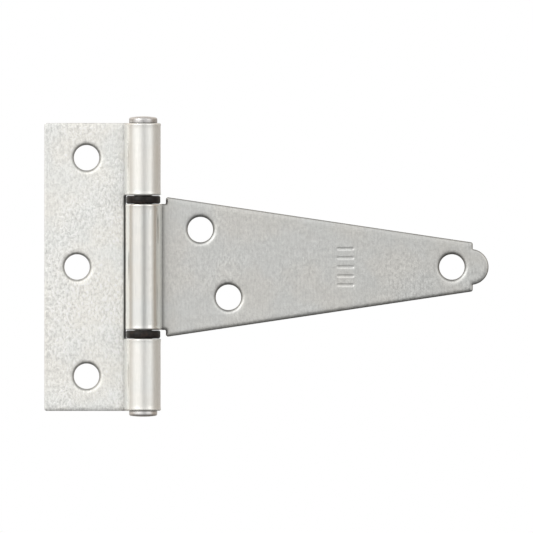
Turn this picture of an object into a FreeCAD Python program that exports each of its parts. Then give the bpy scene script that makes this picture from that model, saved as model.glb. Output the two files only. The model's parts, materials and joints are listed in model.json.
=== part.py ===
import FreeCAD, Part
import math
import os
import re

import Sketcher
from FreeCAD import Vector

# A T hinge for a gate, shed door or chest: a rectangular butt leaf with two rolled end knuckles, a
# tapered strap leaf with one rolled centre knuckle, a pin headed over at both ends, and a washer in
# each gap between knuckles.
#
# Frame: +X runs along the strap from the pin to the tip, +Z is up along the pin, and +Y points into
# the door. Both leaves have their backs on the plane Y = 0. The origin is on that plane, straight
# behind the pin, halfway up the hinge.

SIZES = {
    "sheet_thick": (1.8, "thickness of both leaves"),
    "pin_dia": (4.0, "pin shank diameter"),
    "running_gap": (0.05, "radial clearance between pin and knuckle"),
    "seam_gap": (0.12, "least gap between the cut end of a knuckle and the face of its leaf"),
    "curl_flare": (11, "degrees that the straight end of a knuckle leans away from the pin"),
    "leaf_height": (63.5, "butt leaf, along the pin"),
    "leaf_reach": (21.8, "pin axis to the outer edge of the butt leaf"),
    "notch_height": (31.6, "notch in the butt leaf for the centre knuckle and its washers"),
    "notch_reach": (3.8, "pin axis to the edge of the notch, which tucks in under the knuckle"),
    "knuckle_length": (27.8, "centre knuckle, along the pin"),
    "strap_reach": (76.2, "pin axis to the tip of the strap"),
    "root_offset": (5.0, "pin axis to the shoulders at the wide end of the strap"),
    "root_width": (30.9, "strap at its wide end"),
    "tip_offset": (72.7, "pin axis to the shoulders at the narrow end of the strap"),
    "tip_width": (10.8, "strap at its narrow end"),
    "tab_radius": (3.95, "round tab at the tip"),
    "hole_dia": (5.6, "every screw hole"),
    "hole_rounding": (0.8, "rolled-over front edge of a punched hole"),
    "butt_hole_row": (12.5, "pin axis to the upper and lower holes of the butt leaf"),
    "butt_hole_rise": (24.1, "mid height to the upper and lower holes of the butt leaf"),
    "butt_hole_out": (14.6, "pin axis to the middle hole of the butt leaf"),
    "strap_hole_near": (12.6, "pin axis to the upper strap hole"),
    "strap_hole_rise": (8.25, "mid height to the upper strap hole"),
    "strap_hole_mid": (18.8, "pin axis to the lower strap hole"),
    "strap_hole_drop": (6.7, "mid height to the lower strap hole"),
    "strap_hole_far": (68.1, "pin axis to the tip hole"),
    "corner_radius": (0.6, "corners of the blanked sheet"),
    "front_rounding": (0.5, "rolled-over front edge of the sheet, and the mouths of the bores"),
    "back_rounding": (0.3, "back edge of the sheet, and the outer ends of the knuckles"),
    "mark_reach": (44.6, "pin axis to the middle of the stamped bars"),
    "mark_length": (3.8, "one stamped bar"),
    "mark_width": (0.6, "one stamped bar"),
    "mark_depth": (0.12, "one stamped bar"),
    "mark_pitch": (2.0, "from bar to bar"),
    "mark_bars": (5, "number of stamped bars"),
    "head_dia": (6.24, "both pin heads"),
    "top_head": (1.5, "height of the upper pin head"),
    "foot_head": (1.3, "height of the lower, peened pin head"),
    "head_crown": (0.25, "rise of a head's face at its middle"),
    "head_rounding": (0.45, "rim of a pin head"),
    "washer_dia": (7.6, "outside of a washer"),
    "washer_bore": (4.3, "inside of a washer"),
    "washer_thick": (1.75, "along the pin"),
    "washer_rest": (0.05, "gap under a washer"),
    "washer_rounding": (0.4, "rims of a washer"),
}

# Sizes that follow from the ones above, written as sheet expressions.
BORE_RADIUS = "(pin_dia / 2 + running_gap)"
KNUCKLE_RADIUS = "(pin_dia / 2 + running_gap + sheet_thick)"
END_KNUCKLE = "(leaf_height / 2 - notch_height / 2)"
TAB_CENTRE = "(strap_reach - tab_radius)"
TAB_HALF = f"sqrt(tab_radius^2 - (tip_offset - {TAB_CENTRE})^2)"
CUT_END = "(sheet_thick + seam_gap)"
FLARE_START = f"({KNUCKLE_RADIUS} * cos(curl_flare * 1 deg))"

# How the Sketcher numbers a sketch's own axes and origin, and the points of a curve.
ON_X_AXIS, ON_Y_AXIS = -1, -2
START, END, CENTRE = 1, 2, 3

TINY = 1e-4

doc = FreeCAD.newDocument("THinge")


def make_sheet():
    """The spreadsheet of driving dimensions: name, number and what it measures, one to a row."""
    sheet = doc.addObject("Spreadsheet::Sheet", "sizes")
    for row, (alias, (value, note)) in enumerate(SIZES.items(), start=1):
        sheet.set(f"A{row}", alias)
        sheet.set(f"B{row}", str(value))
        sheet.setAlias(f"B{row}", alias)
        sheet.set(f"C{row}", note)
    doc.recompute()
    return sheet


sizes = make_sheet()


def bound(text):
    """An expression in plain aliases, with each one pointed at its cell of the sheet."""
    return re.sub(r"[a-z_]+", lambda m: f"sizes.{m[0]}" if m[0] in SIZES else m[0], text)


def number(text):
    """What an expression comes to now."""
    return float(sizes.evalExpression(bound(text)))


def new_body(label, z="0", on_pin=False):
    """An empty body at the frame's origin or, if it is round the pin, at height z on its axis."""
    body = doc.addObject("PartDesign::Body", label)
    body.Label = label
    if on_pin:
        body.setExpression("Placement.Base.y", bound(f"-{KNUCKLE_RADIUS}"))
        body.setExpression("Placement.Base.z", bound(z))
    return body


def datum(body, role):
    """One of a body's own origin planes or axes."""
    return next(f for f in body.Origin.OriginFeatures if f.Role == role)


def new_sketch(body, name, role, offset=None):
    """A sketch on one of its body's origin planes, moved along the plane's normal by offset."""
    sketch = body.newObject("Sketcher::SketchObject", name)
    sketch.AttachmentSupport = (datum(body, role), [""])
    sketch.MapMode = "FlatFace"
    if offset:
        sketch.setExpression("AttachmentOffset.Base.z", bound(offset))
    return sketch


def drive(sketch, kind, *refs, to):
    """Adds a dimension and binds it to an expression."""
    index = sketch.addConstraint(Sketcher.Constraint(kind, *refs, abs(number(to))))
    sign = "-1 * " if number(to) < 0 else ""
    sketch.setExpression(f"Constraints[{index}]", bound(f"{sign}({to})"))


def place(sketch, geo, pos, x, y):
    """Fixes one point of the sketch at two expressions."""
    for kind, axis, to in (("DistanceX", ON_Y_AXIS, x), ("DistanceY", ON_X_AXIS, y)):
        if abs(number(to)) < TINY:
            sketch.addConstraint(Sketcher.Constraint("PointOnObject", geo, pos, axis))
        elif number(to) > 0:
            drive(sketch, kind, -1, START, geo, pos, to=to)
        else:
            drive(sketch, kind, geo, pos, -1, START, to=to)


def arc(centre, radius, first_deg, last_deg):
    circle = Part.Circle(centre, Vector(0, 0, 1), radius)
    return Part.ArcOfCircle(circle, math.radians(first_deg), math.radians(last_deg))


def bearing(centre, point):
    return math.degrees(math.atan2(point.y - centre.y, point.x - centre.x))


def outline(body, name, role, corners, arcs=()):
    """A closed sketch through corners given as pairs of expressions, in clockwise order. arcs maps
    a corner's number to the radius and centre of the arc that leads on from it, also clockwise;
    every other side is straight."""
    sketch = new_sketch(body, name, role)
    points = [Vector(number(x), number(y), 0) for x, y in corners]
    count = len(points)
    for i, start in enumerate(points):
        end = points[(i + 1) % count]
        if i in arcs:
            radius, (x, y) = arcs[i]
            centre = Vector(number(x), number(y), 0)
            last_deg = bearing(centre, start)
            first_deg = last_deg - (last_deg - bearing(centre, end)) % 360
            sketch.addGeometry(arc(centre, number(radius), first_deg, last_deg))
        else:
            sketch.addGeometry(Part.LineSegment(start, end))
    # An arc's own direction is anticlockwise, so this outline enters it at its end.
    entry = [END if i in arcs else START for i in range(count)]
    leave = [START if i in arcs else END for i in range(count)]
    for i, (x, y) in enumerate(corners):
        after = (i + 1) % count
        sketch.addConstraint(Sketcher.Constraint("Coincident", i, leave[i], after, entry[after]))
        place(sketch, i, entry[i], x, y)
    for i in arcs:
        drive(sketch, "Radius", i, to=arcs[i][0])
    return sketch


def circles(body, name, centres, diameter):
    """Round holes, seen from the front of the hinge."""
    sketch = new_sketch(body, name, "XZ_Plane")
    for i, (x, z) in enumerate(centres):
        middle = Vector(number(x), number(z), 0)
        sketch.addGeometry(Part.Circle(middle, Vector(0, 0, 1), number(diameter) / 2))
        drive(sketch, "Diameter", i, to=diameter)
        place(sketch, i, CENTRE, x, z)
    return sketch


def curl_section(body, name, side, offset=None):
    """The section of a rolled knuckle: a strip bent from the plane behind the pin and round the pin.
    Its last stretch stays straight, leans away from the pin and ends just clear of the face of its
    own leaf. side is the way the leaf points, -1 for the butt leaf and 1 for the strap."""
    sketch = new_sketch(body, name, "XY_Plane", offset)
    outer, inner = number(KNUCKLE_RADIUS), number(BORE_RADIUS)
    middle = Vector(0, -outer, 0)
    flare = number("curl_flare")
    root_deg = 90
    if side > 0:
        tail_deg, root, tail = -flare, START, END
        sweep = (root_deg, tail_deg + 360)
    else:
        tail_deg, root, tail = 180 + flare, END, START
        sweep = (tail_deg, root_deg + 360)
    lean = math.radians(flare)
    out = Vector(side * math.cos(lean), -math.sin(lean), 0)
    along = Vector(side * math.sin(lean), math.cos(lean), 0)
    straight = (outer - number(CUT_END) + inner * math.sin(lean)) / math.cos(lean)
    rim, bore, root_line, rim_tail, bore_tail, cut_line = range(6)
    for radius in (outer, inner):
        sketch.addGeometry(arc(middle, radius, *sweep))
    sketch.addGeometry(Part.LineSegment(Vector(0, 0, 0), Vector(0, inner - outer, 0)))
    for radius in (outer, inner):
        begin = middle + out * radius
        sketch.addGeometry(Part.LineSegment(begin, begin + along * straight))
    end = middle + along * straight
    sketch.addGeometry(Part.LineSegment(end + out * outer, end + out * inner))
    relations = [
        ("Coincident", rim, root, root_line, START),
        ("Coincident", bore, root, root_line, END),
        ("Coincident", rim, CENTRE, bore, CENTRE),
        ("PointOnObject", root_line, START, ON_Y_AXIS),
        ("PointOnObject", root_line, END, ON_Y_AXIS),
        ("Tangent", rim, tail, rim_tail, START),
        ("Tangent", bore, tail, bore_tail, START),
        ("Coincident", rim_tail, END, cut_line, START),
        ("Coincident", bore_tail, END, cut_line, END),
        ("Perpendicular", rim_tail, cut_line),
        ("Parallel", rim_tail, bore_tail),
    ]
    for relation in relations:
        sketch.addConstraint(Sketcher.Constraint(*relation))
    place(sketch, rim, CENTRE, "0", f"-{KNUCKLE_RADIUS}")
    drive(sketch, "Radius", rim, to=KNUCKLE_RADIUS)
    drive(sketch, "Radius", bore, to=BORE_RADIUS)
    ends = [(-1, START), (rim, tail)][::side]
    drive(sketch, "DistanceX", *ends[0], *ends[1], to=FLARE_START)
    drive(sketch, "DistanceY", bore_tail, END, -1, START, to=CUT_END)
    return sketch


def feature(body, kind, name, sketch, length=None, **settings):
    """A Pad or Pocket of a sketch, with its length, if it has one, bound to the sheet."""
    made = body.newObject(f"PartDesign::{kind}", name)
    made.Profile = sketch
    if length:
        made.setExpression("Length", bound(length))
    for key, value in settings.items():
        setattr(made, key, value)
    doc.recompute()
    return made


def punch(body, name, centres):
    """Screw holes right through a leaf. The cut reaches both ways, and has to take metal out."""
    sketch = circles(body, f"{name}_centres", centres, "hole_dia")
    before = body.Tip.Shape.Volume
    feature(body, "Pocket", name, sketch, Type="ThroughAll", Midplane=True)
    if body.Tip.Shape.Volume > before - 1:
        raise RuntimeError(f"{name} cuts nothing")


def round_edges(body, name, radius, chosen):
    """Rounds the edges of the body's tip that chosen picks by their middle point and curve."""
    tip = body.Tip
    names = []
    for i, edge in enumerate(tip.Shape.Edges, start=1):
        if edge.Degenerated:
            continue
        middle = edge.valueAt((edge.FirstParameter + edge.LastParameter) / 2)
        if chosen(edge, middle):
            names.append(f"Edge{i}")
    if not names:
        raise RuntimeError(f"{name} finds no edge to round")
    made = body.newObject("PartDesign::Fillet", name)
    made.Base = (tip, names)
    made.setExpression("Radius", bound(radius))
    doc.recompute()
    return made


def is_upright(edge):
    """A straight edge along Y, such as a corner of a blanked sheet."""
    if edge.Curve.TypeId != "Part::GeomLine":
        return False
    return abs(abs(edge.tangentAt(edge.FirstParameter).y) - 1) < TINY


def is_round(edge, diameter):
    if edge.Curve.TypeId != "Part::GeomCircle":
        return False
    return abs(edge.Curve.Radius - number(diameter) / 2) < TINY


def finish_sheet(body):
    """Rounds a leaf as blanking and tumbling leave it: corners, both rims and the punched holes."""
    front, reach = -number("sheet_thick"), number(KNUCKLE_RADIUS)

    def corner(edge, middle):
        return is_upright(edge) and abs(middle.x) > TINY

    def front_rim(edge, middle):
        flat = all(abs(vertex.Y - front) < TINY for vertex in edge.Vertexes)
        return flat and abs(middle.x) > reach and not is_round(edge, "hole_dia")

    def back_rim(edge, middle):
        return abs(middle.y) < TINY and abs(middle.x) > reach and not is_round(edge, "hole_dia")

    def hole_mouth(edge, middle):
        return is_round(edge, "hole_dia") and abs(middle.y - front) < TINY

    round_edges(body, f"{body.Label}_corners", "corner_radius", corner)
    round_edges(body, f"{body.Label}_front_rim", "front_rounding", front_rim)
    round_edges(body, f"{body.Label}_back_rim", "back_rounding", back_rim)
    round_edges(body, f"{body.Label}_hole_mouths", "hole_rounding", hole_mouth)


def butt_leaf():
    """The rectangular leaf, notched for the centre knuckle, with a knuckle rolled at each end."""
    body = new_body("butt_leaf")
    top, notch = "leaf_height / 2", "notch_height / 2"
    plate = outline(
        body,
        "butt_blank",
        "XZ_Plane",
        [
            ("-leaf_reach", top),
            ("0", top),
            ("0", notch),
            ("-notch_reach", notch),
            ("-notch_reach", f"-{notch}"),
            ("0", f"-{notch}"),
            ("0", f"-{top}"),
            ("-leaf_reach", f"-{top}"),
        ],
    )
    feature(body, "Pad", "butt_plate", plate, length="sheet_thick")
    curl = curl_section(body, "upper_curl", -1, offset=notch)
    upper = feature(body, "Pad", "upper_knuckle", curl, length=END_KNUCKLE)
    lower = body.newObject("PartDesign::Mirrored", "lower_knuckle")
    lower.Originals = [upper]
    lower.MirrorPlane = (datum(body, "XY_Plane"), [""])
    body.Tip = lower
    doc.recompute()
    centres = [
        ("-butt_hole_row", "butt_hole_rise"),
        ("-butt_hole_out", "0"),
        ("-butt_hole_row", "-butt_hole_rise"),
    ]
    punch(body, "butt_screw_holes", centres)
    finish_sheet(body)
    return body


def stamp_bars(body):
    """A plain stamped mark on the strap: short bars, one above another."""
    half_long, half_wide = "mark_length / 2", "mark_width / 2"
    lowest = "-mark_pitch * (mark_bars - 1) / 2"
    left, right = f"mark_reach - {half_long}", f"mark_reach + {half_long}"
    low, high = f"{lowest} - {half_wide}", f"{lowest} + {half_wide}"
    corners = [(left, low), (left, high), (right, high), (right, low)]
    sketch = outline(body, "lowest_bar", "XZ_Plane", corners)
    sketch.setExpression("AttachmentOffset.Base.z", bound("sheet_thick"))
    bar = feature(body, "Pocket", "stamped_bar", sketch, length="mark_depth")
    row = body.newObject("PartDesign::LinearPattern", "stamped_bars")
    row.Originals = [bar]
    row.Direction = (datum(body, "Z_Axis"), [""])
    row.setExpression("Length", bound("mark_pitch * (mark_bars - 1)"))
    row.setExpression("Occurrences", bound("mark_bars"))
    body.Tip = row
    doc.recompute()


def strap_leaf():
    """The tapered leaf, with a round tab at its tip and the centre knuckle rolled at its root."""
    body = new_body("strap_leaf")
    tongue, root, tip = "knuckle_length / 2", "root_width / 2", "tip_width / 2"
    plate = outline(
        body,
        "strap_blank",
        "XZ_Plane",
        [
            ("0", tongue),
            ("root_offset", tongue),
            ("root_offset", root),
            ("tip_offset", tip),
            ("tip_offset", TAB_HALF),
            ("tip_offset", f"-1 * {TAB_HALF}"),
            ("tip_offset", f"-{tip}"),
            ("root_offset", f"-{root}"),
            ("root_offset", f"-{tongue}"),
            ("0", f"-{tongue}"),
        ],
        arcs={4: ("tab_radius", (TAB_CENTRE, "0"))},
    )
    feature(body, "Pad", "strap_plate", plate, length="sheet_thick")
    curl = curl_section(body, "centre_curl", 1)
    feature(body, "Pad", "centre_knuckle", curl, length="knuckle_length", Midplane=True)
    centres = [
        ("strap_hole_near", "strap_hole_rise"),
        ("strap_hole_mid", "-strap_hole_drop"),
        ("strap_hole_far", "0"),
    ]
    punch(body, "strap_screw_holes", centres)
    finish_sheet(body)
    stamp_bars(body)
    return body


def turned(body, name, corners, arcs=()):
    """The solid that a half section sweeps round its body's own upright axis."""
    made = body.newObject("PartDesign::Revolution", name)
    made.Profile = outline(body, f"{name}_section", "XZ_Plane", corners, arcs)
    made.ReferenceAxis = (datum(body, "Z_Axis"), [""])
    made.Angle = 360
    doc.recompute()


def hinge_pin():
    """The pin, with a low button head at its top and peened over at its foot."""
    body = new_body("hinge_pin", on_pin=True)
    top, foot = "(leaf_height / 2 + top_head)", "(-leaf_height / 2 - foot_head)"
    head, shank, seat = "head_dia / 2", "pin_dia / 2", "leaf_height / 2"
    crown = "(((head_dia / 2)^2 + head_crown^2) / (2 * head_crown))"
    corners = [
        ("0", foot),
        ("0", top),
        (head, f"{top} - head_crown"),
        (head, seat),
        (shank, seat),
        (shank, f"-{seat}"),
        (head, f"-{seat}"),
        (head, f"{foot} + head_crown"),
    ]
    arcs = {1: (crown, ("0", f"{top} - {crown}")), 7: (crown, ("0", f"{foot} + {crown}"))}
    turned(body, "headed_pin", corners, arcs)

    def rim(edge, middle):
        return is_round(edge, "head_dia") and abs(middle.z) > number(f"{seat} + {TINY}")

    round_edges(body, "head_rims", "head_rounding", rim)
    return body


def washer(label, under):
    """A washer, loose on the pin, with its lower face at the height of under."""
    body = new_body(label, on_pin=True, z=under)
    bore, rim = "washer_bore / 2", "washer_dia / 2"
    corners = [(bore, "0"), (bore, "washer_thick"), (rim, "washer_thick"), (rim, "0")]
    turned(body, f"{label}_ring", corners)
    round_edges(body, f"{label}_rims", "washer_rounding", lambda edge, _: is_round(edge, "washer_dia"))
    return body


def check_and_write(pieces):
    """Stops on any failed feature or bad solid, then writes one STEP file for each piece."""
    doc.recompute()
    failed = [o.Name for o in doc.Objects if {"Invalid", "Error"} & set(o.State)]
    if failed:
        raise RuntimeError(f"failed features: {failed}")
    for piece in pieces:
        if piece.Shape.isNull() or not piece.Shape.isValid() or len(piece.Shape.Solids) != 1:
            raise RuntimeError(f"{piece.Label} is not one valid solid")
    os.makedirs("parts", exist_ok=True)
    for piece in pieces:
        piece.Shape.exportStep(f"parts/{piece.Label}.step")
        print(f"{piece.Label}: {piece.Shape.Volume:.1f} cubic mm")


check_and_write(
    [
        butt_leaf(),
        strap_leaf(),
        hinge_pin(),
        washer("upper_washer", "knuckle_length / 2 + washer_rest"),
        washer("lower_washer", "-notch_height / 2 + washer_rest"),
    ]
)
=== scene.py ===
import json
import math

import bpy
import numpy as np
from mathutils import Euler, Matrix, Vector
from mathutils.geometry import delaunay_2d_cdt


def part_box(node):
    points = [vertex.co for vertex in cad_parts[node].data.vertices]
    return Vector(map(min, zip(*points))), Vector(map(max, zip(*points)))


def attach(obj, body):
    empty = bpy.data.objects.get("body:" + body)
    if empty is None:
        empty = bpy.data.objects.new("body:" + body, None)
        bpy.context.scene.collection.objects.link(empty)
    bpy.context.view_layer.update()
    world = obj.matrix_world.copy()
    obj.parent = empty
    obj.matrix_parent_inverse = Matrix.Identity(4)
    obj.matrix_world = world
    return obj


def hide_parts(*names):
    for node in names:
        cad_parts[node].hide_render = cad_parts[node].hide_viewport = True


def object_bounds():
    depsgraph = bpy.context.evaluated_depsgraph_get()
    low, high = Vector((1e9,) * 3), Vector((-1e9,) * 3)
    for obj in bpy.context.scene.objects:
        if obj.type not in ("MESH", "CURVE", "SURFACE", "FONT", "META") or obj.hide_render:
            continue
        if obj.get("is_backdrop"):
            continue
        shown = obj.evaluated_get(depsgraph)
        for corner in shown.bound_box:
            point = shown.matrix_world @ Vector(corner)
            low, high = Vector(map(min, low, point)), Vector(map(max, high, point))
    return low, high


# The looks of a zinc-plated T hinge. Each leaf is modelled as the flat blank it is stamped from, and
# that blank is then wrapped round the pin, so that edges, punched holes and surface texture all
# follow the metal. Lengths in this script are millimetres, and become metres when a mesh is made.

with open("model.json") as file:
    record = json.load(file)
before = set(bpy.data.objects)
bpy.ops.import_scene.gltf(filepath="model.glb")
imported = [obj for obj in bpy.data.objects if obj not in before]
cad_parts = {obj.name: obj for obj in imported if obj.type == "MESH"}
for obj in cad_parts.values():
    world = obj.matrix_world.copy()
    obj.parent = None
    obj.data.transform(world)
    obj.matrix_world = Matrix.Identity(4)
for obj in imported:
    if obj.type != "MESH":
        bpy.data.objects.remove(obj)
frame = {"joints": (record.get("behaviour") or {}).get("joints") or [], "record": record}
cad_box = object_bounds()

MM = 0.001

# ---------------------------------------------------------------- sizes, from the frame and the trade


def span(node):
    """A CAD node's lowest and highest corners."""
    low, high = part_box(node)
    return low / MM, high / MM


MOUNTS = {mount["name"]: mount for mount in frame["record"]["mounts"]}
SWING = next(joint for joint in frame["joints"] if joint["name"] == "strap_swing")

SHEET = 1.8
PIN_R, BORE_R, WASHER_BORE_R = 2.0, 2.05, 2.15
KNUCKLE_R = -SWING["pos_m"][1] / MM
AXIS_Y = -KNUCKLE_R
SEAM_GAP = 0.12
FLARE = math.radians(11)

LEAF_REACH = -span("butt_leaf")[0].x
LEAF_TOP = span("butt_leaf")[1].z
NOTCH_TOP = 15.8
NOTCH_REACH = 3.8

STRAP_REACH = span("strap_leaf")[1].x
TONGUE_TOP = 13.9
ROOT_REACH, ROOT_TOP = 5.0, 15.45
SHOULDER_REACH, SHOULDER_TOP = 72.7, 5.4
TAB_R = 3.95

CORNER_R = 0.5
CURL_CORNER_R, NOTCH_CORNER_R, TAB_CORNER_R = 0.42, 0.3, 0.12

# How far a rolled-over edge reaches into its face, and how far it drops.
BUTT_EDGE, STRAP_EDGE, BORE_EDGE = (1.00, 0.22), (0.92, 0.46), (0.40, 0.40)
BACK_EDGE, KNUCKLE_EDGE = (0.30, 0.30), (0.36, 0.34)
BELL = 0.06  # how far shearing spreads the end of a knuckle
HOLE_EDGE, HOLE_BACK_EDGE = (1.05, 0.60), (0.12, 0.12)

# The plain bars stamped across the strap.
BAR_LENGTH, BAR_WIDTH, BAR_DEPTH = 3.8, 0.6, 0.07
BAR_PITCH, BAR_COUNT, BAR_REACH = 2.0, 5, 44.6
BAR_LIP = 0.14  # how far outside its outline a bar's rounding starts


def hole_at(name):
    """A screw hole that the record describes: its reach along the leaf, its height and its radius."""
    x, _, z = MOUNTS[name]["pos_m"]
    return abs(x) / MM, z / MM, MOUNTS[name]["dims"]["r_mm"]


def outer_holes():
    """The butt leaf's outer pair of screw holes, which the record describes as one pattern."""
    mount = MOUNTS["butt_leaf_outer_holes"]
    half = mount["dims"]["spacing_y_mm"] / 2
    x, _, z = mount["pos_m"]
    return [(abs(x) / MM, z / MM + up, mount["dims"]["hole_r_mm"]) for up in (half, -half)]


# ------------------------------------------------------------------------------------ small utilities


def smoothstep(low, high, value):
    """Rises smoothly from 0 at low to 1 at high, or falls where high is below low."""
    part = np.clip((np.asarray(value, float) - low) / (high - low), 0, 1)
    return part * part * (3 - 2 * part)


def lattice_noise(points, size, seed):
    """Smooth noise from -1 to 1 over points of two columns, with features about size across."""
    table = np.random.default_rng(seed).uniform(-1, 1, (256, 256))
    scaled = points / np.asarray(size, float)
    cell = np.floor(scaled).astype(int)
    part = scaled - cell
    part = part * part * (3 - 2 * part)
    i, j = cell[:, 0] % 256, cell[:, 1] % 256
    i_next, j_next = (i + 1) % 256, (j + 1) % 256
    low = table[i, j] * (1 - part[:, 0]) + table[i_next, j] * part[:, 0]
    high = table[i, j_next] * (1 - part[:, 0]) + table[i_next, j_next] * part[:, 0]
    return low * (1 - part[:, 1]) + high * part[:, 1]


def rollover(distance, reach, drop):
    """How far a rounded edge is below its face, at a distance in from the wall: an elliptical arc."""
    part = np.clip(1 - distance / reach, 0, 1)
    return drop * (1 - np.sqrt(1 - part**2))


def make_object(name, points, faces, attributes, material):
    """A smooth-shaded mesh object from points in millimetres."""
    mesh = bpy.data.meshes.new(name)
    mesh.from_pydata((np.asarray(points) * MM).tolist(), [], faces)
    mesh.validate()
    mesh.polygons.foreach_set("use_smooth", np.ones(len(mesh.polygons), bool))
    for key, values in attributes.items():
        values = np.asarray(values, np.float32)
        kind, field = ("FLOAT_VECTOR", "vector") if values.ndim == 2 else ("FLOAT", "value")
        mesh.attributes.new(key, kind, "POINT").data.foreach_set(field, values.ravel())
    mesh.materials.append(material)
    made = bpy.data.objects.new(name, mesh)
    bpy.context.scene.collection.objects.link(made)
    return made


# --------------------------------------------------------------------------------- outline of a blank


def fillet(before, corner, after, radius, steps=7):
    """Points of the arc that rounds one corner of an outline."""
    to_before = (before - corner) / np.linalg.norm(before - corner)
    to_after = (after - corner) / np.linalg.norm(after - corner)
    half = math.acos(np.clip(to_before @ to_after, -1, 1)) / 2
    bisector = (to_before + to_after) / np.linalg.norm(to_before + to_after)
    centre = corner + bisector * radius / math.sin(half)
    first = corner + to_before * radius / math.tan(half) - centre
    last = corner + to_after * radius / math.tan(half) - centre
    turn = math.atan2(first[0] * last[1] - first[1] * last[0], first @ last)
    points = []
    for i in range(steps + 1):
        a = turn * i / steps
        spun = (
            first[0] * math.cos(a) - first[1] * math.sin(a),
            first[0] * math.sin(a) + first[1] * math.cos(a),
        )
        points.append(centre + spun)
    return points


def outline(corners):
    """A closed line through corners of (u, z, radius). A corner with radius 0 is left as it is."""
    spots = [np.array(corner[:2], float) for corner in corners]
    line = []
    for i, (_, _, radius) in enumerate(corners):
        before, corner, after = spots[i - 1], spots[i], spots[(i + 1) % len(spots)]
        line += fillet(before, corner, after, radius) if radius else [corner]
    return np.array(line)


def resampled(line, step):
    """The same closed line, with extra points wherever two are further apart than step."""
    points = []
    for start, end in zip(line, np.roll(line, -1, axis=0)):
        length = np.linalg.norm(end - start)
        count = max(1, math.ceil(length / step))
        points += [start + (end - start) * i / count for i in range(count) if length > 1e-6]
    return np.array(points)


def inward(line):
    """Unit normals that point to the left of a closed line, which is inside a counter-clockwise one."""
    along = np.roll(line, -1, axis=0) - np.roll(line, 1, axis=0)
    along /= np.linalg.norm(along, axis=1)[:, None]
    return np.column_stack([-along[:, 1], along[:, 0]])


def inside(points, line):
    """Which points lie inside a closed line."""
    x, y = points[:, 0], points[:, 1]
    result = np.zeros(len(points), bool)
    for (x1, y1), (x2, y2) in zip(line, np.roll(line, -1, axis=0)):
        if y1 == y2:
            continue
        crosses = (y1 > y) != (y2 > y)
        result ^= crosses & (x < (x2 - x1) * (y - y1) / (y2 - y1) + x1)
    return result


def gap_to(points, line):
    """Distance from each point to the nearest point of a finely sampled line."""
    best = np.full(len(points), np.inf)
    for chunk in np.array_split(line, max(1, len(line) // 64)):
        apart = np.linalg.norm(points[:, None, :] - chunk[None], axis=2)
        best = np.minimum(best, apart.min(axis=1))
    return best


# ------------------------------------------------------------------------------ from blank to hinge leaf

STEP = 0.36  # mesh spacing on the sheet
CLEAR = STEP * 0.55  # how far the loose points of the sheet keep from the rings
FINE_STEP = 0.06  # spacing along the edge when distances to it are measured
BAR_STEP = 0.25  # spacing along the outline of a bar

# Distances in from a cut edge of the rings and rows that carry its rounding.
RINGS = (0, 0.015, 0.05, 0.11, 0.19, 0.29, 0.40)
OUTER_ROWS = (0.55, 0.75)
HOLE_RINGS = (0, 0.015, 0.05, 0.12, 0.22, 0.36, 0.53, 0.73, 0.98)
WALL_LEVELS = 5
LEAST_AREA = 1e-6  # slivers smaller than this lie along a straight edge, not inside it

CURL_SWEEP = 1.5 * math.pi - FLARE
NEUTRAL_R = (KNUCKLE_R + BORE_R) / 2
CURL_ARC = NEUTRAL_R * CURL_SWEEP
CURL_TAIL = (KNUCKLE_R - SHEET - SEAM_GAP + BORE_R * math.sin(FLARE)) / math.cos(FLARE)
CURL_LENGTH = CURL_ARC + CURL_TAIL


def wrap(u, z, depth, side):
    """Places points of the blank on the hinge. u runs out along the leaf from the plane of the pin,
    and is negative on the curl; depth is 0 on the back of the sheet and SHEET on its front."""
    spin = np.clip(-u / NEUTRAL_R, 0, CURL_SWEEP)
    tail = np.clip(-u - CURL_ARC, 0, None)
    radius = KNUCKLE_R - depth
    x = side * (np.clip(u, 0, None) - radius * np.sin(spin) - tail * np.cos(spin))
    y = AXIS_Y + radius * np.cos(spin) - tail * np.sin(spin)
    return np.column_stack([x, y, z])


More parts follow.
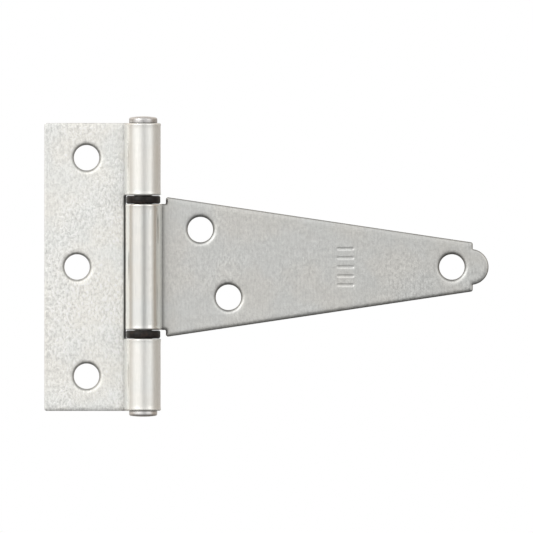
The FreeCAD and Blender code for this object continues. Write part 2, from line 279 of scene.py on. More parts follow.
class Blank:
    """A flat triangulated sheet: points, triangles, and how far each face drops at its edges.
    holes are (u, z, radius), marks are (u, z, length, width, depth), ends are the heights of the
    knuckle's ends, and front_edge is the reach and drop of the rounding on the leaf's front."""

    def __init__(self, corners, holes, marks, ends, front_edge):
        self.chunks, self.floors, self.constraints, self.walls = [], [], [], []
        self.edge = resampled(outline(corners), STEP)
        self.holes, self.marks = holes, marks
        self.add_loop(self.edge, RINGS)
        for hole in holes:
            self.add_loop(circle(*hole), HOLE_RINGS)
        for mark in marks:
            self.add_mark(*mark)
        self.fill()
        self.triangulate()
        self.shape_edges(ends, front_edge)

    def add(self, points, floor=0.0):
        """Adds points whose front is lowered to a floor, and gives the first one's number."""
        start = sum(len(chunk) for chunk in self.chunks)
        self.chunks.append(points)
        self.floors.append(np.full(len(points), float(floor)))
        return start

    def ring(self, points, floor=0.0):
        """Adds a closed line of points whose segments the triangles have to keep."""
        start, count = self.add(points, floor), len(points)
        self.constraints += [(start + i, start + (i + 1) % count) for i in range(count)]
        return start

    def add_loop(self, line, distances):
        """A cut edge and the rings that carry its rounding into the sheet."""
        normals = inward(line)
        for distance in distances:
            start = self.ring(line + normals * distance)
            if distance == 0:
                self.walls.append((start, line, normals))

    def add_mark(self, u, z, length, width, depth):
        """A stamped bar: rings round a slot with round ends, stepping down to its floor."""
        half = length / 2 - width / 2
        for grow, drop in ((BAR_LIP, 0), (0.04, 0.012), (-0.08, depth * 0.8), (-0.18, depth)):
            self.ring(slot_line(u, z, half, width / 2 + grow), drop)

    def fill(self):
        """Loose points wherever there is sheet and no ring."""
        for distance in OUTER_ROWS:
            row = self.edge + inward(self.edge) * distance
            row = row[inside(row, self.edge)]
            self.add(row[gap_to(row, self.edge) > distance - 0.03])
        low, high = self.edge.min(axis=0), self.edge.max(axis=0)
        row_step = STEP * math.sqrt(3) / 2
        rows = []
        for k, z in enumerate(np.arange(low[1], high[1], row_step)):
            us = np.arange(low[0] + STEP / 2 * (k % 2), high[0], STEP)
            rows.append(np.column_stack([us, np.full(len(us), z)]))
        grid = np.vstack(rows)
        grid = grid[inside(grid, self.edge)]
        grid = grid[gap_to(grid, self.edge) > OUTER_ROWS[-1] + CLEAR]
        for u, z, radius in self.holes:
            away = np.hypot(grid[:, 0] - u, grid[:, 1] - z)
            grid = grid[away > radius + HOLE_RINGS[-1] + CLEAR]
        for u, z, length, width, depth in self.marks:
            half = (length - width) / 2
            reach = np.clip(np.abs(grid[:, 0] - u) - half, 0, None)
            away = np.hypot(reach, grid[:, 1] - z)
            grid = grid[away > width / 2 + BAR_LIP + STEP * 0.4]
            floor_line = np.arange(-half, half + 0.01, 0.3)
            self.add(np.column_stack([u + floor_line, np.full(len(floor_line), z)]), depth)
        self.add(grid)

    def triangulate(self):
        """Joins the points into triangles, and keeps those that are sheet and not hole."""
        self.points = np.vstack(self.chunks)
        coords = [Vector(p) for p in self.points]
        found, _, faces, origins, _, _ = delaunay_2d_cdt(coords, self.constraints, [], 0, 1e-7)
        if len(found) != len(coords):
            raise RuntimeError("the rings of a blank cross one another")
        new_to_old = [origin[0] for origin in origins]
        triangles = np.array([[new_to_old[v] for v in face] for face in faces])
        first, second, third = (self.points[triangles[:, i]] for i in range(3))
        along, across = second - first, third - first
        area = np.abs(along[:, 0] * across[:, 1] - along[:, 1] * across[:, 0]) / 2
        middles = (first + second + third) / 3
        keep = inside(middles, self.edge) & (area > LEAST_AREA)
        for u, z, radius in self.holes:
            keep &= np.hypot(middles[:, 0] - u, middles[:, 1] - z) > radius * 0.999
        self.triangles = triangles[keep]

    def shape_edges(self, ends, front_edge):
        """Rolls the edges over. Shearing also leaves the ends of a knuckle slightly belled."""
        u, z = self.points[:, 0], self.points[:, 1]
        from_edge = gap_to(self.points, resampled(self.edge, FINE_STEP))
        on_leaf = smoothstep(2.0, 4.6, u)
        on_curl = smoothstep(-1.0, -3.5, u)
        front_reach, front_fall = blend_edge(BORE_EDGE, front_edge, on_leaf)
        back_reach, back_fall = blend_edge(BACK_EDGE, KNUCKLE_EDGE, on_curl)
        self.front_drop = np.concatenate(self.floors) + rollover(from_edge, front_reach, front_fall)
        self.back_drop = rollover(from_edge, back_reach, back_fall)
        self.rim = np.clip(1 - from_edge / front_reach, 0, 1)
        self.lip = np.zeros(len(u))
        for hole_u, hole_z, radius in self.holes:
            from_hole = np.hypot(u - hole_u, z - hole_z) - radius
            self.front_drop += rollover(from_hole, *HOLE_EDGE)
            self.back_drop += rollover(from_hole, *HOLE_BACK_EDGE)
            self.lip = np.maximum(self.lip, np.clip(1 - from_hole / HOLE_EDGE[0], 0, 1))
        apart = np.abs(np.abs(z)[:, None] - np.array(ends)[None]).min(axis=1)
        self.bell = BELL * smoothstep(1.0, 0.25, apart) * on_curl


def blend_edge(one, other, part):
    """Reach and drop of an edge that changes from one kind to the other along its length."""
    return [low + (high - low) * part for low, high in zip(one, other)]


def circle(u, z, radius):
    """A hole's line, clockwise, so that its normals point into the sheet."""
    count = math.ceil(2 * math.pi * radius / STEP)
    turns = -2 * math.pi * np.arange(count) / count
    return np.column_stack([u + radius * np.cos(turns), z + radius * np.sin(turns)])


def slot_line(u, z, half, radius, steps=10):
    """A slot with round ends, counter-clockwise. half is from its middle to an end's centre."""
    right = np.linspace(-math.pi / 2, math.pi / 2, steps)
    left = right + math.pi
    line = np.vstack(
        [
            np.column_stack([u + half + radius * np.cos(right), z + radius * np.sin(right)]),
            np.column_stack([u - half + radius * np.cos(left), z + radius * np.sin(left)]),
        ]
    )
    return resampled(line, BAR_STEP)


def relief(points, amount, seed):
    """Unevenness of rolled and tumbled sheet: pebbling over slow waves."""
    pebble = lattice_noise(points, 0.95, seed) + 0.5 * lattice_noise(points, 0.5, seed + 1)
    waves = lattice_noise(points, 6.0, seed + 2)
    return amount * (pebble + 1.2 * waves)


def face_depths(blank, pebble, seed):
    """Where the front and the back face lie within the sheet, with their edges and unevenness."""
    u = blank.points[:, 0]
    calm = (1 - blank.rim) * (1 - blank.lip) * (1 - smoothstep(0.5, -2.5, u))
    front = SHEET - blank.front_drop + relief(blank.points, pebble, seed) * calm
    rolled = relief(blank.points, pebble, seed + 10) * (1 - blank.rim) * (0.35 + 0.65 * (u < 0))
    return front, blank.back_drop - blank.bell - rolled * 0.6


def wall_rows(line, normals, top, bottom, seed):
    """Rows of points down a cut edge, from its front to its back, set back where the metal tore."""
    along = np.arange(len(line)) * 1.0
    for level in range(1, WALL_LEVELS):
        part = level / WALL_LEVELS
        depth = top * (1 - part) + bottom * part
        torn = smoothstep(0.25, 0.45, part) * smoothstep(1.0, 0.85, part)
        grain = lattice_noise(np.column_stack([along, depth * 6]), 2.0, seed)
        spots = line + normals * (torn * (0.02 + 0.015 * grain))[:, None]
        yield spots, depth, float(torn)


def bands(layers):
    """Quads that join each closed row of points to the next one."""
    count = len(layers[0])
    faces = []
    for upper, lower in zip(layers, layers[1:]):
        for i in range(count):
            j = (i + 1) % count
            faces.append((upper[j], upper[i], lower[i], lower[j]))
    return faces


def leaf_object(name, blank, side, painted_shade, pebble, seed, material):
    """The solid leaf: front, back and walls of the blank, wrapped round the pin."""
    u, z = blank.points[:, 0], blank.points[:, 1]
    count = len(u)
    front_depth, back_depth = face_depths(blank, pebble, seed)
    positions = [wrap(u, z, front_depth, side), wrap(u, z, back_depth, side)]
    blanks = [np.column_stack([u, z, front_depth]), np.column_stack([u, z, back_depth])]
    rims, lips = [blank.rim, blank.rim], [blank.lip, blank.lip]
    walls = [np.zeros(count), np.zeros(count)]
    faces = [tuple(t) for t in blank.triangles]
    faces += [tuple(t[::-1] + count) for t in blank.triangles]
    total = 2 * count
    for start, line, normals in blank.walls:
        ids = start + np.arange(len(line))
        layers = [ids]
        for spots, depth, torn in wall_rows(line, normals, front_depth[ids], back_depth[ids], seed + 20):
            positions.append(wrap(spots[:, 0], spots[:, 1], depth, side))
            blanks.append(np.column_stack([spots, depth]))
            rims.append(blank.rim[ids])
            lips.append(blank.lip[ids])
            walls.append(np.full(len(line), torn))
            layers.append(total + np.arange(len(line)))
            total += len(line)
        layers.append(ids + count)
        faces += bands(layers)
    if side < 0:
        faces = [face[::-1] for face in faces]
    faces = [tuple(int(v) for v in face) for face in faces]
    blanks = np.vstack(blanks)
    attributes = {
        "blank": blanks,
        "rim": np.concatenate(rims),
        "lip": np.concatenate(lips),
        "wall": np.concatenate(walls),
        "curl": smoothstep(0.5, -1.5, blanks[:, 0]),
        # painted shade: how dark each point is drawn in bores, on cut ends, beside the notch and along
        # seams
        "painted_shade": painted_shade(blanks),
    }
    return make_object(name, np.vstack(positions), faces, attributes, material)


CREASE_REACH = 4.15  # how far out the crease beside a knuckle reaches at full strength


def hidden_side(blanks):
    """Painted shade: 1 inside a knuckle's bore and on its cut end, 0 on what the eye can reach."""
    u, depth = blanks[:, 0], blanks[:, 2]
    bore = smoothstep(0.4, 0.75, depth / SHEET) * smoothstep(1.0, -0.3, u)
    cut_end = smoothstep(-CURL_LENGTH + 0.35, -CURL_LENGTH + 0.05, u)
    return np.maximum(bore, cut_end)


def crease(blanks, strength):
    """Shade where a knuckle's cut end comes down on the face of its own leaf."""
    u, depth = blanks[:, 0], blanks[:, 2]
    on_face = smoothstep(CREASE_REACH + 1.25, CREASE_REACH, u) * smoothstep(0.5, 0.8, depth / SHEET)
    beyond_seam = smoothstep(-1.0, 0.5, u)
    return on_face * beyond_seam * strength


def flank(blanks, strength):
    """Shade on the straight end of a curl, where it runs down to the leaf."""
    return smoothstep(-CURL_LENGTH + 3.6, -CURL_LENGTH + 2.4, blanks[:, 0]) * strength


def butt_painted_shade(blanks):
    """Painted shade in the butt leaf: in the bores, and on the notch wall under the knuckle."""
    u, z = blanks[:, 0], blanks[:, 1]
    beside_knuckle = smoothstep(NOTCH_TOP + 0.5, NOTCH_TOP - 0.3, np.abs(z))
    beside_washer = smoothstep(TONGUE_TOP - 0.1, TONGUE_TOP + 0.1, np.abs(z))
    band = np.maximum(smoothstep(NOTCH_REACH + 0.05, NOTCH_REACH + 0.20, u), beside_washer)
    notch = band * smoothstep(NOTCH_REACH + 0.72, NOTCH_REACH + 0.36, u) * beside_knuckle * 0.82
    seam = crease(blanks, 0.10) * (1 - beside_knuckle)
    return np.maximum.reduce([hidden_side(blanks), notch, seam, flank(blanks, 0.30)])


def strap_painted_shade(blanks):
    """Painted shade in the strap: in the bore, and along the seam."""
    within = smoothstep(TONGUE_TOP + 0.6, TONGUE_TOP - 0.2, np.abs(blanks[:, 1]))
    seam = crease(blanks, 0.42) * within
    return np.maximum.reduce([hidden_side(blanks), seam, flank(blanks, 0.22)])


def butt_leaf(material):
    """The rectangular leaf with an end knuckle at its top and bottom."""
    upper = [
        (LEAF_REACH, LEAF_TOP, CORNER_R),
        (-CURL_LENGTH, LEAF_TOP, CURL_CORNER_R),
        (-CURL_LENGTH, NOTCH_TOP, CURL_CORNER_R),
        (NOTCH_REACH, NOTCH_TOP, NOTCH_CORNER_R),
    ]
    lower = [(u, -z, radius) for u, z, radius in reversed(upper)]
    holes = outer_holes() + [hole_at("butt_leaf_middle_hole")]
    blank = Blank(upper + lower, holes, [], [LEAF_TOP, NOTCH_TOP], BUTT_EDGE)
    return leaf_object("butt_leaf_plate", blank, -1, butt_painted_shade, 0.011, 11, material)


def strap_leaf(material):
    """The tapered leaf with the centre knuckle, square shoulders and a round tab at its tip."""
    tab_centre = STRAP_REACH - TAB_R
    half_turn = math.acos((SHOULDER_REACH - tab_centre) / TAB_R)
    turns = np.linspace(half_turn, -half_turn, 41)[1:-1]
    tab = [(tab_centre + TAB_R * math.cos(a), TAB_R * math.sin(a), 0) for a in turns]
    tab_edge = TAB_R * math.sin(half_turn)
    upper = [
        (-CURL_LENGTH, TONGUE_TOP, CURL_CORNER_R),
        (ROOT_REACH, TONGUE_TOP, NOTCH_CORNER_R),
        (ROOT_REACH, ROOT_TOP, CORNER_R),
        (SHOULDER_REACH, SHOULDER_TOP, CORNER_R),
        (SHOULDER_REACH, tab_edge, TAB_CORNER_R),
    ]
    lower = [(u, -z, radius) for u, z, radius in reversed(upper)]
    clockwise = upper + tab + lower
    holes = [hole_at(f"strap_{which}_hole") for which in ("upper", "lower", "tip")]
    lowest = -BAR_PITCH * (BAR_COUNT - 1) / 2
    bars = [
        (BAR_REACH, lowest + BAR_PITCH * i, BAR_LENGTH, BAR_WIDTH, BAR_DEPTH)
        for i in range(BAR_COUNT)
    ]
    blank = Blank(clockwise[::-1], holes, bars, [TONGUE_TOP], STRAP_EDGE)
    return leaf_object("strap_leaf_plate", blank, 1, strap_painted_shade, 0.006, 31, material)


# -------------------------------------------------------------------------------- turned pieces


def lathe(name, profile, segments, wobble, material):
    """A closed solid turned about the pin's axis from a closed or axis-to-axis profile of (r, z)."""
    profile = np.asarray(profile, float)
    turns = 2 * math.pi * np.arange(segments) / segments
    on_axis = profile[:, 0] < 1e-9
    points, ids = [], []
    for (radius, z), pole in zip(profile, on_axis):
        if pole:
            ids.append([len(points)] * segments)
            points.append((0, AXIS_Y, z))
            continue
        ids.append(list(range(len(points), len(points) + segments)))
        for turn in turns:
            r, height = wobble(radius, z, turn)
            points.append((r * math.cos(turn), AXIS_Y + r * math.sin(turn), height))
    pairs = list(zip(ids, ids[1:]))
    if not on_axis.any():
        pairs.append((ids[-1], ids[0]))
    faces = []
    for one, other in pairs:
        for i in range(segments):
            j = (i + 1) % segments
            face = [one[i], one[j], other[j], other[i]]
            faces.append(tuple(dict.fromkeys(face)))
    return make_object(name, points, faces, {}, material)


def arc_points(centre_r, centre_z, radius, first_deg, last_deg, steps):
    """Points (r, z) along an arc of a profile."""
    angles = np.radians(np.linspace(first_deg, last_deg, steps + 1))
    return [(centre_r + radius * math.cos(a), centre_z + radius * math.sin(a)) for a in angles]


def head_profile(seat, tip, radius, rim, crown):
    """Half section of a low button head, from its seat out to its middle. tip may be below seat."""
    way = 1 if tip > seat else -1
    shoulder = abs(tip - seat) - crown
    under = arc_points(radius - 0.15, 0.15, 0.15, -90, 0, 4)
    rounding = arc_points(radius - rim, shoulder - rim * 0.9, rim, 0, 80, 9)
    last_r, last_z = rounding[-1]
    face = []
    for part in np.linspace(0, 1, 12)[1:]:
        r = last_r * (1 - part)
        top = last_z + (abs(tip - seat) - last_z) * (1 - (r / last_r) ** 2)
        face.append((max(r, 0), top))
    return [(r, seat + way * height) for r, height in under + rounding + face]


def hinge_pin(material):
    """Drawn pin with an upset button head on top and a peened foot."""
    low, high = span("hinge_pin")
    head_r = (high.x - low.x) / 2
    seat = LEAF_TOP
    top = head_profile(seat, high.z, head_r, rim=0.5, crown=0.28)
    foot = head_profile(-seat, low.z, head_r, rim=0.42, crown=0.24)
    shank = [(PIN_R, z) for z in np.linspace(-seat, seat, 90)]
    profile = foot[::-1] + shank + top

    def wobble(radius, z, turn):
        """Upsetting leaves the heads slightly out of round, the foot more than the top."""
        beyond = abs(z) - seat
        if beyond <= 0:
            return radius, z
        lumps = math.sin(3 * turn + 1) + 0.6 * math.sin(5 * turn + 2.2) + 0.4 * math.sin(9 * turn)
        strength = 0.016 if z < 0 else 0.006
        return radius * (1 - strength * (1 + 0.5 * lumps) * min(beyond, 1) * 0.6), z

    return lathe("hinge_pin_headed", profile, 128, wobble, material)


def washer(node, material, seed):
    """A moulded ring with soft rims and a faint parting line round its middle."""
    low, high = span(node)
    rim_r, bore_r = (high.x - low.x) / 2, WASHER_BORE_R
    soft, chamfer, flat_from, parting = 0.40, 0.12, 2.5, 0.05
    bottom, top = low.z, high.z
    middle = (bottom + top) / 2
    profile = [
        (bore_r, bottom + chamfer),
        (bore_r + chamfer, bottom),
        *[(r, bottom) for r in np.linspace(flat_from, rim_r - soft - 0.1, 5)],
        *arc_points(rim_r - soft, bottom + soft, soft, -90, 0, 7),
        (rim_r, middle - parting),
        (rim_r, middle),
        (rim_r, middle + parting),
        *arc_points(rim_r - soft, top - soft, soft, 0, 90, 7),
        *[(r, top) for r in np.linspace(rim_r - soft - 0.1, flat_from, 5)],
        (bore_r + chamfer, top),
        (bore_r, top - chamfer),
    ]

    def wobble(radius, z, turn):
        """The rim is slightly out of round, and stands proud along its parting line."""
        seam = 0.0 if abs(z - middle) < 1e-6 else 0.012
        out = 0.010 * math.sin(2 * turn + seed) + 0.006 * math.sin(7 * turn + 2 * seed)
        if radius < rim_r - soft - 0.05:
            return radius, z
        return radius - seam - 0.016 + out, z

    return lathe(f"{node}_ring", profile, 112, wobble, material)


# ---------------------------------------------------------------------------------------- materials


def put(tree, kind, inputs=(), **settings):
    """Adds a node. inputs maps a socket's name or number to a value or to a socket that feeds it."""
    made = tree.nodes.new(kind)
    for key, value in settings.items():
        setattr(made, key, value)
    for key, value in dict(inputs).items():
        if isinstance(value, bpy.types.NodeSocket):
            tree.links.new(value, made.inputs[key])
        else:
            made.inputs[key].default_value = value
    return made


def calc(tree, operation, a, b=0.0, c=0.0):
    """One step of arithmetic on numbers or sockets."""
    return put(tree, "ShaderNodeMath", {0: a, 1: b, 2: c}, operation=operation).outputs[0]


def remap(tree, value, low, high, to_low, to_high):
    """Maps low..high onto to_low..to_high along a smooth curve, level beyond both ends."""
    inputs = {0: value, 1: low, 2: high, 3: to_low, 4: to_high}
    return put(tree, "ShaderNodeMapRange", inputs, interpolation_type="SMOOTHSTEP").outputs[0]


def blend_colour(tree, factor, a, b, mode="MIX"):
    """Colour a with colour b laid over it by factor."""
    inputs = {0: factor, 6: a, 7: b}
    return put(tree, "ShaderNodeMix", inputs, data_type="RGBA", blend_type=mode).outputs[2]


def ramp(tree, value, stops):
    """A colour ramp through (position, colour) stops."""
    made = put(tree, "ShaderNodeValToRGB", {0: value})
    made.color_ramp.interpolation = "EASE"
    elements = made.color_ramp.elements
    while len(elements) < len(stops):
        elements.new(0.5)
    for element, (position, colour) in zip(elements, stops):
        element.position = position
        element.color = colour
    return made.outputs["Color"]


def noise(tree, coords, scale, detail=3.0, roughness=0.55, stretch=None):
    """Noise of a given scale per millimetre, or stretched by a vector of scales."""
    if stretch:
        coords = put(tree, "ShaderNodeVectorMath", {0: coords, 1: stretch}, operation="MULTIPLY").outputs[0]
    inputs = {"Vector": coords, "Scale": scale, "Detail": detail, "Roughness": roughness}
    return put(tree, "ShaderNodeTexNoise", inputs, noise_dimensions="3D").outputs["Fac"]


def attribute(tree, name, output):
    """One of the values that leaf_object stores at each point of a mesh."""
    return put(tree, "ShaderNodeAttribute", attribute_name=name).outputs[output]


def new_material(name):
    """An empty node material and its tree."""
    material = bpy.data.materials.new(name)
    material.use_nodes = True
    material.node_tree.nodes.clear()
    return material, material.node_tree


def finish_material(tree, inputs):
    """Feeds a surface shader and the material's output."""
    shader = put(tree, "ShaderNodeBsdfPrincipled", inputs)
    put(tree, "ShaderNodeOutputMaterial", {"Surface": shader.outputs["BSDF"]})


def grey(value, warm=0.0):
    """A grey, with red raised and blue lowered by the share warm."""
    return (value * (1 + warm), value, value * (1 - warm), 1.0)


def zinc_sheet(
    name,
    *,
    tone,
    knuckle_tone,
    knuckle_scatter,
    shoulder,
    edge_tone,
    flat_rough,
    knuckle_rough,
    mottle,
    grain,
    shift,
):
    """Zinc plate on stamped sheet: crystalline mottling, slow tints, fine scratches, rolled-over
    edges dimmed partly as duller metal and partly with painted shade, torn walls, painted shade in
    crevices and round the hole lips, and a painted light falloff out along the leaf. tone and
    knuckle_tone are how much the flat and the curl reflect, and knuckle_scatter is the share of the
    curl that scatters instead of mirroring. shoulder and edge_tone dim the start and the end of an
    edge's rounding, grain is the height of the bumps in millimetres, and shift moves the patterns about."""
    material, tree = new_material(name)
    place = attribute(tree, "blank", "Vector")
    where = put(tree, "ShaderNodeVectorMath", {0: place, 1: shift}, operation="ADD").outputs[0]
    rim = attribute(tree, "rim", "Fac")
    lip = attribute(tree, "lip", "Fac")
    wall = attribute(tree, "wall", "Fac")
    curl = attribute(tree, "curl", "Fac")
    painted_shade = attribute(tree, "painted_shade", "Fac")

    flecks = noise(tree, where, 1.0, 3.0, 0.6, stretch=(2.0, 1.15, 1.0))
    crystals = noise(tree, where, 1.0, 2.0, 0.6, stretch=(4.2, 2.9, 3.6))
    tints = noise(tree, where, 0.11, 2.0, 0.5)
    calm_places = noise(tree, where, 0.07, 1.0, 0.5)
    drawn = noise(tree, where, 1.0, 3.0, 0.6, stretch=(7.0, 0.25, 1.0))
    scratches = noise(tree, where, 1.0, 2.0, 0.5, stretch=(0.3, 9.0, 1.0))
    flat = calc(tree, "SUBTRACT", 1.0, calc(tree, "MULTIPLY", curl, 0.85))
    busy = calc(tree, "MULTIPLY", flat, remap(tree, calm_places, 0.35, 0.65, 0.65, 1.25))

    cool, warm = (tone * 0.985, tone, tone * 0.98, 1), (tone * 1.005, tone, tone * 0.96, 1)
    colour = blend_colour(tree, remap(tree, tints, 0.35, 0.65, 0.0, 1.0), cool, warm)
    broad = remap(tree, flecks, 0.2, 0.8, -mottle, mottle)
    fine = remap(tree, crystals, 0.2, 0.8, -mottle * 0.5, mottle * 0.5)
    mottling = calc(tree, "ADD", broad, fine)
    light = calc(tree, "MULTIPLY_ADD", mottling, busy, 1.0)
    streaks = remap(tree, drawn, 0.3, 0.7, 0.955, 1.025)
    light = calc(tree, "MULTIPLY", light, streaks)
    light = calc(tree, "MULTIPLY", light, remap(tree, curl, 0.0, 1.0, 1.0, knuckle_tone / tone))
    # Painted light falloff: brighter near the knuckle, darker out towards the far end of the leaf.
    out = put(tree, "ShaderNodeSeparateXYZ", {0: place}).outputs["X"]
    light = calc(tree, "MULTIPLY", light, remap(tree, out, 0.0, 76.0, 1.03, 0.95))
    # Rolled-over edges are dimmed, partly as duller bare metal and partly as painted shade that stands in
    # for their shading and tames their highlights; on the curl only the outermost part is dimmed, to 0.50.
    worn_and_shaded = put(tree, "ShaderNodeMix", {0: curl, 2: shoulder, 3: 1.0}).outputs[0]
    light = calc(tree, "MULTIPLY", light, remap(tree, rim, 0.0, 0.45, 1.0, worn_and_shaded))
    edge = put(tree, "ShaderNodeMix", {0: curl, 2: edge_tone, 3: 0.50}).outputs[0]
    light = calc(tree, "MULTIPLY", light, remap(tree, rim, 0.70, 1.0, 1.0, edge))
    # Painted shade in a wide ring round the lip of each screw hole.
    light = calc(tree, "MULTIPLY", light, remap(tree, lip, 0.35, 0.80, 1.0, 0.52))
    light = calc(tree, "MULTIPLY", light, remap(tree, wall, 0.0, 1.0, 1.0, 0.72))
    # Painted shade in bores, on cut ends, beside the notch, along the seams and on the curls' straight
    # ends.
    light = calc(tree, "MULTIPLY", light, remap(tree, painted_shade, 0.0, 1.0, 1.0, 0.10))
    grey_light = put(tree, "ShaderNodeCombineColor", {0: light, 1: light, 2: light}).outputs[0]
    colour = blend_colour(tree, 1.0, colour, grey_light, "MULTIPLY")

    rough = put(tree, "ShaderNodeMix", {0: curl, 2: flat_rough, 3: knuckle_rough}).outputs[0]
    rough = calc(tree, "MULTIPLY_ADD", remap(tree, flecks, 0.3, 0.7, -0.06, 0.06), busy, rough)
    rough = calc(tree, "ADD", rough, remap(tree, scratches, 0.62, 0.8, 0.0, -0.08))
    rough = calc(tree, "ADD", rough, remap(tree, wall, 0.0, 1.0, 0.0, 0.2))
    rough = calc(tree, "ADD", rough, remap(tree, painted_shade, 0.0, 1.0, 0.0, 0.3))

    height = calc(tree, "MULTIPLY", crystals, 0.6)
    height = calc(tree, "ADD", height, flecks)
    height = calc(tree, "MULTIPLY", height, busy)
    height = calc(tree, "ADD", height, calc(tree, "MULTIPLY", scratches, 0.12))
    bump = put(tree, "ShaderNodeBump", {"Strength": 1.0, "Distance": grain * MM, "Height": height})

    finish_material(
        tree,
        {
            "Base Color": colour,
            "Metallic": remap(tree, curl, 0.0, 1.0, 1.0, 1.0 - knuckle_scatter),
            "Roughness": rough,
            "Normal": bump.outputs["Normal"],
        },
    )
    return material


def zinc_pin(name, head_tone, foot_tone):
    """The pin's plate, with fine drawing marks: painted shade darkens the head, painted light brightens the
    foot.
    """
    material, tree = new_material(name)
    place = put(tree, "ShaderNodeTexCoord").outputs["Object"]
    where = put(tree, "ShaderNodeVectorMath", {0: place, 3: 1 / MM}, operation="SCALE").outputs[0]
    patches = noise(tree, where, 1.3, 3.0, 0.6)
    drawn = noise(tree, where, 1.0, 2.0, 0.6, stretch=(6.0, 6.0, 0.4))
    light = remap(tree, patches, 0.3, 0.7, 0.92, 1.05)
    light = calc(tree, "MULTIPLY", light, remap(tree, drawn, 0.3, 0.7, 0.94, 1.03))
    along = put(tree, "ShaderNodeSeparateXYZ", {0: where}).outputs["Z"]
    # Painted shade and light along the pin: darker towards the head, lighter towards the foot.
    light = calc(tree, "MULTIPLY", light, remap(tree, along, -10.0, 10.0, foot_tone, head_tone))
    grey_light = put(tree, "ShaderNodeCombineColor", {0: light, 1: light, 2: light}).outputs[0]
    colour = blend_colour(tree, 1.0, grey(1.0, 0.01), grey_light, "MULTIPLY")
    rough = remap(tree, patches, 0.3, 0.7, 0.26, 0.42)
    height = calc(tree, "ADD", patches, calc(tree, "MULTIPLY", drawn, 0.4))
    bump = put(tree, "ShaderNodeBump", {"Strength": 1.0, "Distance": 0.02 * MM, "Height": height})
    finish_material(
        tree,
        {
            "Base Color": colour,
            "Metallic": 1.0,
            "Roughness": rough,
            "Normal": bump.outputs["Normal"],
        },
    )
    return material


def butt_zinc():
    """The butt leaf's plate: bright, matt and mottled, with a polished knuckle."""
    return zinc_sheet(
        "butt_leaf_zinc",
        tone=0.915,
        knuckle_tone=0.85,
        knuckle_scatter=0.30,
        shoulder=0.89,
        edge_tone=0.94,
        flat_rough=0.58,
        knuckle_rough=0.26,
        mottle=0.18,
        grain=0.090,
        shift=(0, 0, 0),
    )


def strap_zinc():
    """The strap's plate: greyer and smoother than the butt leaf's, with darker edges."""
    return zinc_sheet(
        "strap_leaf_zinc",
        tone=0.735,
        knuckle_tone=0.84,
        knuckle_scatter=0.0,
        shoulder=0.84,
        edge_tone=0.55,
        flat_rough=0.44,
        knuckle_rough=0.20,
        mottle=0.10,
        grain=0.040,
        shift=(31, 47, 5),
    )


def black_nylon(name):
    """Moulded nylon, satin, with rubbed patches that have gone brown-grey."""
    material, tree = new_material(name)
    place = put(tree, "ShaderNodeTexCoord").outputs["Object"]
    where = put(tree, "ShaderNodeVectorMath", {0: place, 3: 1 / MM}, operation="SCALE").outputs[0]
    rubbed = noise(tree, where, 1.1, 4.0, 0.65)
    grain = noise(tree, where, 9.0, 2.0, 0.5)
    dark, worn_and_shaded = (0.005, 0.0035, 0.003, 1), (0.030, 0.019, 0.015, 1)
    colour = blend_colour(tree, remap(tree, rubbed, 0.45, 0.72, 0.0, 1.0), dark, worn_and_shaded)
    rough = remap(tree, rubbed, 0.35, 0.7, 0.32, 0.55)
    height = calc(tree, "ADD", grain, calc(tree, "MULTIPLY", rubbed, 0.8))
    bump = put(tree, "ShaderNodeBump", {"Strength": 1.0, "Distance": 0.012 * MM, "Height": height})
    finish_material(
        tree,
        {
            "Base Color": colour,
            "Roughness": rough,
            "Specular IOR Level": 0.32,
            "Normal": bump.outputs["Normal"],
        },
    )
    return material


# ---------------------------------------------------------------------------------- floor and light


# The level and the warmth of the surroundings at each bearing: 90 degrees is the left, 180 is where
# the camera stands and 270 is the right.
AROUND = [
    (0, 0.60, 0.06),
    (80, 0.56, 0.10),
    (98, 0.62, 0.07),
    (114, 0.95, 0.02),
    (158, 0.98, 0.02),
    (170, 0.80, 0.01),
    (180, 0.52, 0.01),
    (192, 0.52, 0.01),
    (205, 0.81, 0.01),
    (232, 0.82, 0.01),
    (246, 0.65, 0.05),
    (258, 0.39, 0.11),
    (285, 0.36, 0.13),
    (320, 0.46, 0.08),
    (360, 0.60, 0.06),
]
# Their level from straight down at 0 to straight up at 1.
UPWARD = [
    (0, 0.16),
    (0.22, 0.34),
    (0.42, 0.88),
    (0.56, 1.04),
    (0.72, 1.70),
    (0.86, 1.55),
    (0.95, 0.80),
    (1, 0.62),
]


def studio_world():
    """Soft surroundings: bright on the front left, dimmer and warmer on the right, with a shaded
    band where the camera stands. The camera itself sees plain white."""
    world = bpy.data.worlds.new("studio")
    world.use_nodes = True
    bpy.context.scene.world = world
    tree = world.node_tree
    tree.nodes.clear()
    direction = put(tree, "ShaderNodeTexCoord").outputs["Generated"]
    parts = put(tree, "ShaderNodeSeparateXYZ", {0: direction}).outputs
    towards_front = calc(tree, "MULTIPLY", parts["Y"], -1.0)
    bearing = calc(tree, "ARCTAN2", parts["X"], towards_front)
    turn = calc(tree, "MULTIPLY_ADD", bearing, 0.5 / math.pi, 0.5)
    around = ramp(tree, turn, [(degrees / 360, grey(*shade)) for degrees, *shade in AROUND])
    height = calc(tree, "MULTIPLY_ADD", parts["Z"], 0.5, 0.5)
    upward = ramp(tree, height, [(position, grey(level)) for position, level in UPWARD])
    level = put(tree, "ShaderNodeSeparateColor", {0: upward}).outputs[0]
    lit = put(tree, "ShaderNodeBackground", {"Color": around, "Strength": level})
    plain = put(tree, "ShaderNodeBackground", {"Color": grey(1.0), "Strength": 1.0})
    seen = put(tree, "ShaderNodeLightPath").outputs["Is Camera Ray"]
    mixed = put(tree, "ShaderNodeMixShader", {0: seen, 1: lit.outputs[0], 2: plain.outputs[0]})
    put(tree, "ShaderNodeOutputWorld", {"Surface": mixed.outputs[0]})


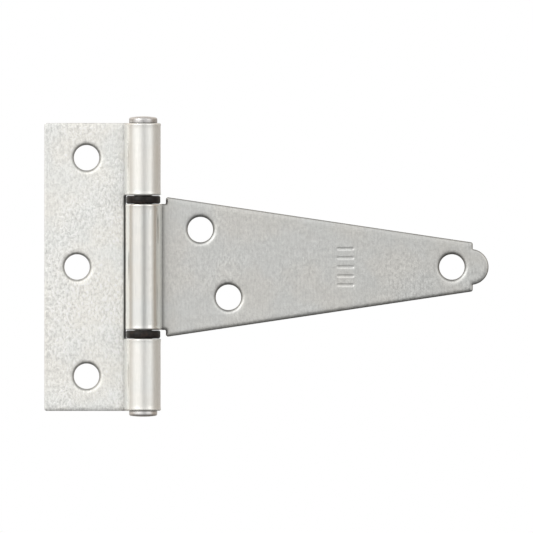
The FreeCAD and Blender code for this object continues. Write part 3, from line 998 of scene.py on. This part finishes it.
def soft_light(name, place, target, size, power, colour=(1, 1, 1)):
    """A square softbox at place, facing target, both in metres."""
    light = bpy.data.lights.new(name, "AREA")
    light.shape = "SQUARE"
    light.size = size
    light.energy = power
    light.color = colour
    lamp = bpy.data.objects.new(name, light)
    lamp.location = place
    lamp.rotation_euler = (Vector(target) - Vector(place)).to_track_quat("-Z", "Y").to_euler()
    lamp.visible_camera = False
    bpy.context.scene.collection.objects.link(lamp)


def pale_floor():
    """A plain pale floor under the pin's foot."""
    material, tree = new_material("pale_floor")
    place = put(tree, "ShaderNodeTexCoord").outputs["Object"]
    soft = noise(tree, place, 3.0, 2.0)
    colour = blend_colour(tree, soft, grey(0.84), grey(0.87))
    finish_material(tree, {"Base Color": colour, "Roughness": 0.9})
    half = 3.0
    level = cad_box[0][2] / MM - 0.02
    corners = [(-half, -half), (half, -half), (half, half), (-half, half)]
    points = [(x / MM, y / MM, level) for x, y in corners]
    floor = make_object("floor", points, [(0, 1, 2, 3)], {}, material)
    floor.visible_glossy = False
    floor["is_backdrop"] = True


def front_camera():
    """Square on to the leaves and level, without perspective."""
    low, high = (Vector(corner) for corner in cad_box)
    middle = (low + high) / 2
    data = bpy.data.cameras.new("camera")
    data.type = "ORTHO"
    data.ortho_scale = (high.x - low.x) * 1.20
    data.clip_end = 20
    camera = bpy.data.objects.new("camera", data)
    camera.location = middle + Vector((0, -0.8, 0))
    camera.rotation_euler = Euler((math.radians(90), 0, 0), "XYZ")
    bpy.context.scene.collection.objects.link(camera)
    bpy.context.scene.camera = camera


# ---------------------------------------------------------------------------------- the whole scene


def mount_piece(piece, node):
    """Hands a visible piece over: it rides on its CAD node's body and stands in for that node."""
    body = next(name for name, nodes in frame["record"]["behaviour"]["bodies"].items() if node in nodes)
    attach(piece, body)
    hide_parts(node)


mount_piece(butt_leaf(butt_zinc()), "butt_leaf")
mount_piece(strap_leaf(strap_zinc()), "strap_leaf")
mount_piece(hinge_pin(zinc_pin("pin_zinc", 0.68, 0.88)), "hinge_pin")
nylon = black_nylon("washer_nylon")
for seed, washer_node in enumerate(("upper_washer", "lower_washer")):
    mount_piece(washer(washer_node, nylon, seed + 1.0), washer_node)

studio_world()
aim = (0.02, 0, 0)
soft_light("left_softbox", (-0.65, -0.75, 0.45), aim, size=0.45, power=2.2)
soft_light("right_fill", (0.75, -0.70, 0.25), aim, size=0.40, power=0.3, colour=(1.0, 0.97, 0.93))
pale_floor()
front_camera()
bpy.context.scene.view_settings.view_transform = "Standard"

bpy.context.view_layer.update()
boxes = {"cad": cad_box, "visual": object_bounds()}
{name: [list(corner) for corner in box] for name, box in boxes.items()}
